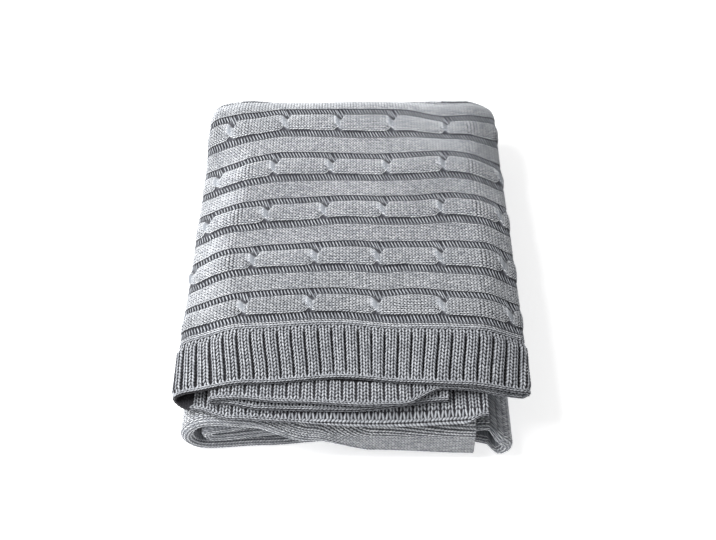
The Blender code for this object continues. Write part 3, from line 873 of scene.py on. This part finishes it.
def cabled(flat, number):
    """Move legs that belong to a cable to where their strand runs, and lift or sink them.

    The strand in front keeps its three wales and stands up as a lobe; the other one is pressed
    inwards by the notch and dips.
    """
    number = number[:, None]
    across_leg = across_band(flat[..., 1].mean(axis=1)[:, None], number)
    half = np.where(across_leg < 0, -1.0, 1.0)
    across = across_band(flat[..., 1], number)
    u, shown = u_of(s_of_a(flat[..., 0])), shown_at(flat)
    q, near = crossing_part(u, number)
    phase = crossing_phase(u, number)
    in_front = np.where(half < 0, phase < 0, phase >= 0)
    swing = np.where(phase < 0, q, q - 1.0)
    offset = (across - half * 0.5) * (1.0 + CROSSING_SPREAD * near * shown)
    moved = half * 0.5 + np.where(in_front, swing, -swing) * shown + offset
    back_edge, front_edge = [cable_edge(u, number, shown, side) for side in (1.0, -1.0)]
    moved = np.where(in_front, moved, np.clip(moved, -front_edge, back_edge))
    dome = rounded(moved / np.where(moved < 0, front_edge, back_edge))
    lobe = CROSSING_LIFT * rounded(offset / LOBE_HALF)
    lift = CABLE_RISE * (dome - rounded(across)) + (np.where(in_front, lobe, 0.0) - CROSSING_SINK) * near
    new_w = v_of_band(number + 0.5 + moved * (0.5 - VALLEY_SHARE))
    in_cable = number % 2 == 0
    flat[..., 1] = np.where(in_cable, new_w, flat[..., 1])
    flat[..., 2] = flat[..., 2] + np.where(in_cable, lift * shown, 0.0)
    return flat


# %% Every V stitch of the body that shows
LEG_TAIL = 0.72
LEG_HEAD = 0.80
TAIL_ACROSS = 0.06
HEAD_ACROSS = 0.41
LEG_HALF_WIDTH = 0.215
LEG_HIGH = 0.0012
LEG_ARCH = 0.0008
TUCK = 0.0009
HEAD_OVER_TAIL = 0.0003
YARN_JITTER = 0.00016


def plain_relief(flat, number):
    """Relief under a stitch with the cable's plain dome, without its crossings."""
    dome = CABLE_RISE * rounded(across_band(flat[..., 1], number[:, None]))
    return (np.where(number[:, None] % 2 == 0, dome, 0.0) + PLAIN_RISE) * shown_at(flat)


def v_legs(a, w, width, course, lengthwise):
    """Both legs of the V stitches at (a, w), whose wales run along the sheet or across it."""
    a, w, width = np.repeat(a, 2), np.repeat(w, 2), np.repeat(width, 2)
    side = np.tile((-1.0, 1.0), len(a) // 2)
    jitter = RANDOM.normal(0.0, YARN_JITTER, (len(a), 2))
    low = np.full(len(a), -TUCK)
    tail = np.stack([-LEG_TAIL * course + jitter[:, 0], side * TAIL_ACROSS * width], axis=-1)
    head = np.stack([LEG_HEAD * course + jitter[:, 0], side * HEAD_ACROSS * width + jitter[:, 1]], axis=-1)
    if not lengthwise:
        tail, head = [np.stack([end[:, 1], -end[:, 0]], axis=-1) for end in (tail, head)]
    foot = np.stack([a, w], axis=-1)
    tail = np.column_stack([foot + tail, low])
    head = np.column_stack([foot + head, low + HEAD_OVER_TAIL])
    return leg_points(tail, head, LEG_HALF_WIDTH * width, LEG_HIGH, LEG_ARCH)


def body_legs():
    """Flat points of the legs of all body stitches that show, with each leg's place."""
    w_wale, width, number = wale_table()
    a_course = np.arange(int(A_TABLE[-1] / COURSE)) * COURSE + COURSE / 2
    a, w = pairs(a_course, w_wale)
    width, number = np.tile(width, len(a_course)), np.tile(number, len(a_course))
    s = s_of_a(a)
    keep = has_stitches(s, t_of(bowed(u_of(s), w)))
    a, w, width, number = a[keep], w[keep], width[keep], np.repeat(number[keep], 2)
    flat = v_legs(a, w, width, COURSE, True)
    flat[..., 2] += plain_relief(flat, number)
    return cabled(flat, number), np.repeat(a, 2), np.repeat(w, 2)


BODY_LEGS, BODY_LEG_A, BODY_LEG_V = body_legs()
print("body legs", len(BODY_LEGS))

# %% Body stitches as pieces
FRONT_PART_TO = 0.150
MIDDLE_PART_TO = 0.290
BODY_POINTS = lay(BODY_LEGS, 1.0, 0.0, CLOTH)
BODY_LEG_S = s_of_a(BODY_LEG_A)
BODY_LEG_T = t_of(bowed(u_of(BODY_LEG_S), BODY_LEG_V))
ON_TOP = (BODY_LEG_S >= 4.0) & (BODY_LEG_S <= 5.0) & (BODY_LEG_T < 1.0)
ON_BACK = (BODY_LEG_T >= 1.0) & (BODY_LEG_T < BACK_STITCHES_TO) & (BODY_LEG_S < 6.0)
ON_LEFT = (BODY_LEG_S > 5.0) & (BODY_LEG_S < 6.0) & ~ON_BACK
ON_RIGHT = (BODY_LEG_S > 3.0) & (BODY_LEG_S < 4.0) & ~ON_BACK
IN_FRONT = BODY_LEG_V < FRONT_PART_TO
AT_BACK = BODY_LEG_V >= MIDDLE_PART_TO
stitch_pieces = []
for piece_name, chosen in (("top_stitches_front", ON_TOP & IN_FRONT),
                           ("top_stitches_middle", ON_TOP & ~IN_FRONT & ~AT_BACK),
                           ("top_stitches_back", ON_TOP & AT_BACK),
                           ("back_fold_stitches", ON_BACK),
                           ("left_fold_stitches", ON_LEFT),
                           ("right_fold_stitches", ON_RIGHT),
                           ("low_front_stitches", ~ON_TOP & ~ON_BACK & ~ON_LEFT & ~ON_RIGHT)):
    stitch_pieces.append(leg_piece(piece_name, BODY_LEGS[chosen], BODY_POINTS[chosen]))

# %% [markdown]
# ## The strands that cross over
#
# Where three wales are pulled over the other three, the stitches are stretched and packed, so no gaps
# show between them. A low smooth ridge of the same yarn follows each strand in front and fills its gaps
# nearly to the height of the legs, as even as the real lobe. It is coloured darker, as painted shade in
# place of the shade of the gaps it fills, and its edges fade to painted shade.

# %% Smooth ridges of the crossings
STRAND_OVER = 0.0010
STRAND_DIP = 0.0016
STRAND_DEPTH = 0.0030
STRAND_WIDE = 0.66
STRAND_REACH = 1.15
STRAND_ALONG = np.linspace(-1.0, 1.0, 13)
STRAND_ACROSS = np.linspace(-1.0, 1.0, 9)
STRAND_NARROWING = 0.25
# Share of a ridge's top in full colour; towards its edges the crown drops to painted shade.
STRAND_CROWN_TOP = 1.6
STRAND_SHOWN = 0.6
# Tones kept low, so the ridges are darker, as painted shade.
STRAND_TONES = (0.0, 0.15)
CROSSINGS_EACH_WAY = 4


def strand_faces():
    """Flat places of the outer and inner points of every ridge, and the crown that sets their painted shade.
    """
    k, number = pairs(np.arange(-CROSSINGS_EACH_WAY, CROSSINGS_EACH_WAY + 1), 2 * np.arange(len(CROSSINGS)))
    middle_x, pitch = columns(CROSSINGS, number // 2)
    centre = TOP_START - middle_x + k * pitch
    w = v_of_band(number + 0.5)
    keep = shown_relief(np.interp(centre, U_TABLE, S_TABLE), t_of(w), w) > STRAND_SHOWN
    number, centre = number[keep], centre[keep]
    p, c = pairs(STRAND_ALONG, STRAND_ACROSS)
    number, u = number[:, None], centre[:, None] + p * CROSSING_HALF * STRAND_REACH
    q, near = crossing_part(u, number)
    moved = q - 0.5 + c * STRAND_WIDE * (1.0 - STRAND_NARROWING * p ** 2)
    lobe = (CROSSING_LIFT * rounded(c) - CROSSING_SINK) * near
    dip = STRAND_DIP * (1.0 - near * rounded(c))
    height = PLAIN_RISE + CABLE_RISE * rounded(moved) + lobe + STRAND_OVER - dip
    w = v_of_band(number + 0.5 + moved * (0.5 - VALLEY_SHARE))
    outer = np.stack([np.interp(u, U_TABLE, A_TABLE), w, height], axis=-1)
    inner = outer - np.array((0.0, 0.0, STRAND_DEPTH))
    # Crown 1 on the ridge's top, 0 at its edges and underside, where the material paints shade
    crown = np.clip(STRAND_CROWN_TOP * (1.0 - c ** 2), 0.0, 1.0)
    return np.concatenate([outer, inner], axis=1), np.concatenate([crown, 0 * crown])


STRANDS, STRAND_CROWN = strand_faces()
STRAND_QUADS = closed_quads(len(STRAND_ALONG), len(STRAND_ACROSS))
STRAND_SHIFT = (np.arange(len(STRANDS)) * STRANDS.shape[1])[:, None, None]
STRAND_VALUES = {"tone": np.repeat(RANDOM.uniform(*STRAND_TONES, len(STRANDS)), STRANDS.shape[1]),
                 "crown": np.tile(STRAND_CROWN, len(STRANDS))}
stitch_pieces.append(fill_mesh("crossing_strands", lay(STRANDS, 1.0, 0.0, CLOTH).reshape(-1, 3),
                               [(STRAND_QUADS + STRAND_SHIFT).reshape(-1, 4)],
                               STRANDS[..., :2].reshape(-1, 2), STRAND_VALUES))
print("crossing strands", len(STRANDS))

# %% [markdown]
# ## The ladder rungs in the valleys
#
# Beside each cable the yarn crosses the sunken purl wales from one knit wale to the next, as a ladder of
# slanted bars over a dark hollow. Each bar is a leg laid across, from the plain band to the cable's real
# edge, so the bars are longer beside a crossing, where the cable is narrow.

# %% Rungs
RUNG_SLANT = math.tan(math.radians(21))
RUNG_WIDE = 0.00115
RUNG_HIGH = 0.0010
RUNG_SAG = 0.0012
RUNG_TUCK = 0.035
RUNG_FRONT = 0.0010
RUNG_BACK = -0.0004
RUNG_CLIMB = 0.0008
RUNG_JITTER = 0.00035


def rung_legs():
    """Flat points of the bars across every valley that shows."""
    valleys = np.arange(0, math.ceil(band_of(v_of(2.6))))
    a_course = np.arange(int(A_TABLE[-1] / COURSE)) * COURSE
    a, valley = pairs(a_course, valleys)
    s, middle = s_of_a(a), v_of_band(valley)
    t = t_of(bowed(u_of(s), middle))
    keep = has_stitches(s, t)
    a, valley, s, t, middle = a[keep], valley[keep], s[keep], t[keep], middle[keep]
    cable = np.where(valley % 2 == 0, valley, valley - 1)
    side = np.where(valley % 2 == 0, -1.0, 1.0)
    reach = (0.5 - VALLEY_SHARE) * cable_edge(u_of(s), cable, shown_relief(s, t, middle), side)
    edge = cable + 0.5 + side * reach
    low_band = np.where(valley % 2 == 0, valley - VALLEY_SHARE, edge) - RUNG_TUCK
    high_band = np.where(valley % 2 == 0, edge, valley + VALLEY_SHARE) + RUNG_TUCK
    low_w, high_w = v_of_band(low_band), v_of_band(high_band)
    slant = RUNG_SLANT * (high_w - low_w) / 2 + RANDOM.normal(0.0, RUNG_JITTER, len(a))
    tail = np.stack([a - slant, low_w, RUNG_FRONT + np.where(side > 0, RUNG_CLIMB, 0.0)], axis=-1)
    head = np.stack([a + slant, high_w, RUNG_BACK + np.where(side > 0, 0.0, RUNG_CLIMB)], axis=-1)
    flat = leg_points(tail, head, RUNG_WIDE, RUNG_HIGH, -RUNG_SAG)
    flat[..., 2] += (PLAIN_RISE * shown_relief(s, t, middle))[:, None]
    return flat


RUNGS = rung_legs()
stitch_pieces.append(leg_piece("ladder_rungs", RUNGS, lay(RUNGS, 1.0, 0.0, CLOTH)))

# %% [markdown]
# ## The border's stitches
#
# The same legs are laid the other way round on the border, two columns of V stitches to a rib. In the
# plain bands at both ends the columns spread out until the gap between the ribs has closed. Two rows
# lie along the border instead: the chain that links it to the body, and the cast-off chain at its edge.

# %% Rib stitches
RIB_COURSE = 0.0050
RIB_BODY = 0.0160


def rib_legs(s_from, s_to, v_from, v_to, side):
    """Flat points of the legs on one side of the border, between two stations and two distances."""
    rib = np.arange(math.floor(u_of(s_from) / RIB_PITCH) - 1, math.ceil(u_of(s_to) / RIB_PITCH) + 1)
    courses = np.arange(v_to - 0.6 * RIB_COURSE, v_from, -RIB_COURSE)
    r, v, wale = pairs(rib, courses, (-1.0, 1.0))
    width = RIB_BODY / 2 + (RIB_PITCH - RIB_BODY) / 2 * (1.0 - rib_open(v))
    turn = RIB_GAP_PLACE - 0.5 if side > 0 else RIB_GAP_PLACE
    centre = (r + turn) * RIB_PITCH + wale * width / 2
    middle = centre + rib_lean(centre, v)
    keep = (middle > u_of(s_from)) & (middle < u_of(s_to))
    flat = v_legs(middle[keep], v[keep], width[keep], RIB_COURSE, False)
    height = rib_relief(flat[..., 0], flat[..., 1], side)
    on_top = (flat[..., 0] > u_of(3.0)) & (flat[..., 0] < u_of(6.0))
    flat[..., 2] += height * np.where(on_top, 1.0, HIDDEN_SHARE)
    return on_courses(flat)


def on_courses(flat):
    """Lengths along the top half's section turned to the lengths that count courses."""
    flat[..., 0] = np.interp(flat[..., 0], U_TABLE, A_TABLE)
    flat[..., 1] = np.maximum(flat[..., 1], -BORDER_LENGTH)
    return flat


# %% The chains along the seam and the free edge
SEAM_CHAIN_WIDTH = 0.0056
SEAM_CHAIN_HEIGHT = 0.0006
EDGE_CHAIN_WIDTH = 0.0052
EDGE_CHAIN_LIFT = 0.0004
CHAIN_LINK = 0.0046


def chain_legs(s_from, s_to, v, width, height):
    """One row of V stitches along the border at distance v."""
    u = np.arange(u_of(s_from) + CHAIN_LINK / 2, u_of(s_to), CHAIN_LINK)
    flat = v_legs(u, np.full(len(u), v), np.full(len(u), width), CHAIN_LINK, True)
    flat[..., 2] += height
    return on_courses(flat)


LAYER_STRIPS = (
    ("rib_stitches", 3.0, 6.0, -0.0016, 1.0),
    ("third_layer_ribs", 0.0, 1.4, -0.046, 1.0),
    ("second_layer_ribs", 1.6, 3.0, -0.046, -1.0),
    ("fourth_layer_ribs", 6.0, 7.0, -0.026, -1.0),
)
EDGE_START = -BORDER_LENGTH + EDGE_CHAIN_WIDTH
for strip_name, s_from, s_to, v_back, side in LAYER_STRIPS:
    legs = rib_legs(s_from, s_to, EDGE_START, v_back, side)
    chain = chain_legs(s_from, s_to, -BORDER_LENGTH + EDGE_CHAIN_WIDTH / 2, EDGE_CHAIN_WIDTH, EDGE_CHAIN_LIFT)
    legs = np.concatenate([legs, chain])
    if s_from == 3.0:
        legs = np.concatenate([legs, chain_legs(s_from, s_to, 0.0, SEAM_CHAIN_WIDTH, SEAM_CHAIN_HEIGHT)])
    stitch_pieces.append(leg_piece(strip_name, legs, lay(legs, side, -1.0, BORDER_CLOTH)))

# %% [markdown]
# ## Yarn, as a material
#
# The yarn is a soft spun cotton, dyed grey and then knitted. It has hardly any gloss: light sinks into
# the fibres, and the nap catches some of it at grazing angles, which is what sheen is for. Each stitch
# is a little lighter or darker than the next, and gets painted shade on its sides and ends, where it is
# tucked under. The fibres are far too fine to show, so they are drawn 0.9 mm coarse, as faint bumps.
# The crossing strands and the ribs get darker copies of the yarn as painted shade, and the rungs are
# a darker grey.

# %% Colour and node helpers
def linear(code):
    """Linear RGBA from an sRGB hex colour such as 9DA0A6."""
    parts = np.array([int(code[i:i + 2], 16) for i in (0, 2, 4)]) / 255.0
    parts = np.where(parts <= 0.04045, parts / 12.92, ((parts + 0.055) / 1.055) ** 2.4)
    return (*parts.tolist(), 1.0)


def add_node(tree, kind, settings=(), inputs=()):
    """A node with its settings, and its inputs set to a value or linked from another node or output."""
    node = tree.nodes.new("ShaderNode" + kind)
    for key, value in dict(settings).items():
        setattr(node, key, value)
    for key, value in dict(inputs).items():
        value = value.outputs[0] if isinstance(value, bpy.types.Node) else value
        if isinstance(value, bpy.types.NodeSocket):
            tree.links.new(value, node.inputs[key])
        else:
            node.inputs[key].default_value = value
    return node


def new_material(name, roughness, sheen):
    """An empty matt material with its shader, whose roughness and sheen are the same all over."""
    material = bpy.data.materials.new(name)
    material.use_nodes = True
    shader = material.node_tree.nodes["Principled BSDF"]
    shader.inputs["Roughness"].default_value = roughness
    shader.inputs["Specular IOR Level"].default_value = 0.25
    shader.inputs["Sheen Weight"].default_value = sheen
    shader.inputs["Sheen Roughness"].default_value = 0.5
    return material, material.node_tree, shader


# %% Spun cotton yarn
FIBRE_SIZE = 0.0009
CLOUD_SIZE = 0.12


def spun_yarn(name, dark, light, tucked_shade):
    """Yarn coloured from dark to light by each stitch's tone, with painted shade where its crown is low."""
    material, tree, shader = new_material(name, 0.9, 0.15)
    tone = add_node(tree, "Attribute", {"attribute_name": "tone"})
    crown = add_node(tree, "Attribute", {"attribute_name": "crown"})
    where = add_node(tree, "TexCoord")
    fibre, cloud = [add_node(tree, "TexNoise", {}, {"Vector": where.outputs["Object"], "Scale": 1 / size,
                                                    "Detail": detail})
                    for size, detail in ((FIBRE_SIZE, 2.0), (CLOUD_SIZE, 1.0))]
    mixed = add_node(tree, "Math", {"operation": "MULTIPLY_ADD"}, {0: cloud, 1: 0.6, 2: tone.outputs["Fac"]})
    shade = add_node(tree, "MapRange", {}, {"Value": mixed, "From Min": 0.1, "From Max": 1.5})
    colour = add_node(tree, "Mix", {"data_type": "RGBA"},
                      {"Factor": shade, "A": linear(dark), "B": linear(light)})
    # Painted shade on the sides and ends of legs and the edges of ridges, where the crown drops to 0.
    top = add_node(tree, "MapRange", {}, {"Value": crown.outputs["Fac"], "From Max": 0.7})
    tuck_shaded = add_node(tree, "Mix", {"data_type": "RGBA"},
                    {"Factor": top, "A": linear(tucked_shade), "B": colour.outputs["Result"]})
    bump = add_node(tree, "Bump", {}, {"Height": fibre, "Strength": 0.10, "Distance": 0.0004})
    tree.links.new(tuck_shaded.outputs["Result"], shader.inputs["Base Color"])
    tree.links.new(bump.outputs["Normal"], shader.inputs["Normal"])
    return material


# The last colour of each yarn is the painted shade on the sides and ends of legs.
YARN = spun_yarn("spun_cotton_yarn", "A6AAB0", "E8EAED", "424248")
# The rungs' yarn is a darker grey.
DARKER_RUNG_YARN = spun_yarn("darker_rung_cotton_yarn", "85898F", "C0C4CA", "4A4A50")
# A darker copy of the yarn, as painted shade on the smooth ridges.
SHADED_STRAND_YARN = spun_yarn("strand_yarn_with_painted_shade", "74787E", "AEB2B8", "4A4A50")
# A darker copy of the yarn, as painted shade on the ribs.
SHADED_RIB_YARN = spun_yarn("rib_yarn_with_painted_shade", "8F9298", "C6C9CE", "3E3E43")
YARN_OF = {"ladder_rungs": DARKER_RUNG_YARN, "crossing_strands": SHADED_STRAND_YARN}
for piece in stitch_pieces:
    piece.data.materials.append(YARN_OF.get(piece.name, SHADED_RIB_YARN if "rib" in piece.name else YARN))

# %% [markdown]
# ## The ground cloth, as a material
#
# Where solid stitches lie on it, the ground is only what shows between them, so it is painted dark, as
# the shade between them. Elsewhere it is the knitting itself: the material draws V stitches from the
# flat place of each point, as colour and as bump with painted shade in the gaps between their bars,
# 4.5 mm each way on the body, and 5.0 mm long and 8.7 mm wide on the border.

# %% Knitted ground
def knitted_ground(name, knit, gap, under, along_axis, course, wale):
    """Stockinette drawn from the flat place: slanted bars meeting in a V in each wale, with painted shade."""
    material, tree, shader = new_material(name, 0.95, 0.1)
    flat = add_node(tree, "UVMap", {"uv_map": "flat"})
    split = add_node(tree, "SeparateXYZ", {}, {"Vector": flat.outputs["UV"]})
    along, across = split.outputs[along_axis], split.outputs["Y" if along_axis == "X" else "X"]
    in_wale = add_node(tree, "Math", {"operation": "MULTIPLY"}, {0: across, 1: 1 / wale})
    fold = add_node(tree, "Math", {"operation": "PINGPONG"}, {0: in_wale, 1: 0.5})
    in_course = add_node(tree, "Math", {"operation": "MULTIPLY_ADD"}, {0: along, 1: 1 / course, 2: fold})
    angle = add_node(tree, "Math", {"operation": "MULTIPLY"}, {0: in_course, 1: 2 * math.pi})
    bar = add_node(tree, "Math", {"operation": "SINE"}, {0: angle})
    across_angle = add_node(tree, "Math", {"operation": "MULTIPLY"}, {0: in_wale, 1: 4 * math.pi})
    groove = add_node(tree, "Math", {"operation": "COSINE"}, {0: across_angle})
    height = add_node(tree, "Math", {"operation": "MULTIPLY_ADD"}, {0: groove, 1: -0.6, 2: bar})
    level = add_node(tree, "MapRange", {}, {"Value": height, "From Min": -1.4, "From Max": 0.9})
    # The gap colour is painted shade between the drawn bars.
    drawn = add_node(tree, "Mix", {"data_type": "RGBA"},
                     {"Factor": level, "A": linear(gap), "B": linear(knit)})
    cover_and_painted_shade = add_node(tree, "Attribute", {"attribute_name": "cover_and_painted_shade"})
    # Where solid stitches lie, the under colour is painted shade between them.
    colour = add_node(tree, "Mix", {"data_type": "RGBA"},
                      {"Factor": cover_and_painted_shade.outputs["Fac"], "A": drawn.outputs["Result"], "B": linear(under)})
    bump = add_node(tree, "Bump", {}, {"Height": level, "Strength": 0.8, "Distance": 0.0012})
    tree.links.new(colour.outputs["Result"], shader.inputs["Base Color"])
    tree.links.new(bump.outputs["Normal"], shader.inputs["Normal"])
    return material


# Knit colour, then painted shade in the drawn gaps, then painted shade under the solid stitches.
body_sheet.data.materials.append(knitted_ground("knitted_cotton_body", "AFB2B8", "6A6C73", "4A4B51", "X",
                                                COURSE, FIRST_BAND * (1 - 2 * VALLEY_SHARE) / WALES_EACH))
border_sheet.data.materials.append(knitted_ground("knitted_cotton_rib", "A9ACB2", "5E6067", "2E2D31", "Y",
                                                  RIB_COURSE, RIB_PITCH / 2))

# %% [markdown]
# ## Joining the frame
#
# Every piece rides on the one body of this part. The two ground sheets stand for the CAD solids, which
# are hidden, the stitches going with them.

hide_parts("cable_body")
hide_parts("rib_border")
for piece in (body_sheet, border_sheet, *stitch_pieces):
    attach(piece, "root")

# %% [markdown]
# ## Floor, light and camera
#
# The photograph is a studio shot on white, lit from the upper left, with its right side in shade and no
# shadow on the floor. One large soft light from the left, a faint reflector in front, a weak even
# surround and a pale floor that glows a little, as a light table does, come close to that. The camera
# looks down at about 50 degrees from the front.

# %% Floor
FLOOR_SIZE = 12.0
FLOOR_GLOW = 0.58
bpy.ops.mesh.primitive_plane_add(size=FLOOR_SIZE, location=(0, 0, 0))
floor = bpy.context.active_object
floor.name = "floor"
floor_paint, _, floor_shader = new_material("white_floor_paint", 0.9, 0.0)
floor_shader.inputs["Base Color"].default_value = linear("F4F4F4")
floor_shader.inputs["Emission Color"].default_value = linear("FFFFFF")
floor_shader.inputs["Emission Strength"].default_value = FLOOR_GLOW
floor.data.materials.append(floor_paint)


# %% Lights
# name, place, aim, size, power
LIGHTS = (
    ("window_left", (-1.05, 0.00, 1.28), (0.0, 0.0, 0.05), 1.1, 42.5),
    ("reflector_front", (-1.20, -1.20, 0.35), (-0.1, -0.25, 0.05), 0.8, 4.0),
)
SURROUND = 0.42
for name, place_at, aim_at, size, power in LIGHTS:
    light = bpy.data.lights.new(name, "AREA")
    light.size = size
    light.energy = power
    lamp = bpy.data.objects.new(name, light)
    lamp.location = place_at
    lamp.rotation_euler = (Vector(aim_at) - Vector(place_at)).to_track_quat("-Z", "Y").to_euler()
    bpy.context.scene.collection.objects.link(lamp)
world = bpy.data.worlds.new("studio")
world.use_nodes = True
world.node_tree.nodes["Background"].inputs["Color"].default_value = (1.0, 1.0, 1.0, 1.0)
world.node_tree.nodes["Background"].inputs["Strength"].default_value = SURROUND
bpy.context.scene.world = world
bpy.context.scene.view_settings.view_transform = "Standard"

# %% Camera
CAMERA_ELEVATION = math.radians(50.4)
CAMERA_PLACE = (0.008, -1.041, 1.285)
FOCAL_PIXELS = 1108.0
IMAGE_WIDTH = 716
camera_data = bpy.data.cameras.new("camera")
camera_data.sensor_width = 36.0
camera_data.lens = FOCAL_PIXELS / IMAGE_WIDTH * camera_data.sensor_width
camera = bpy.data.objects.new("camera", camera_data)
camera.location = CAMERA_PLACE
camera.rotation_euler = (math.pi / 2 - CAMERA_ELEVATION, 0.0, 0.0)
bpy.context.scene.collection.objects.link(camera)
bpy.context.scene.camera = camera
print("lens", round(camera_data.lens, 2), "mm")
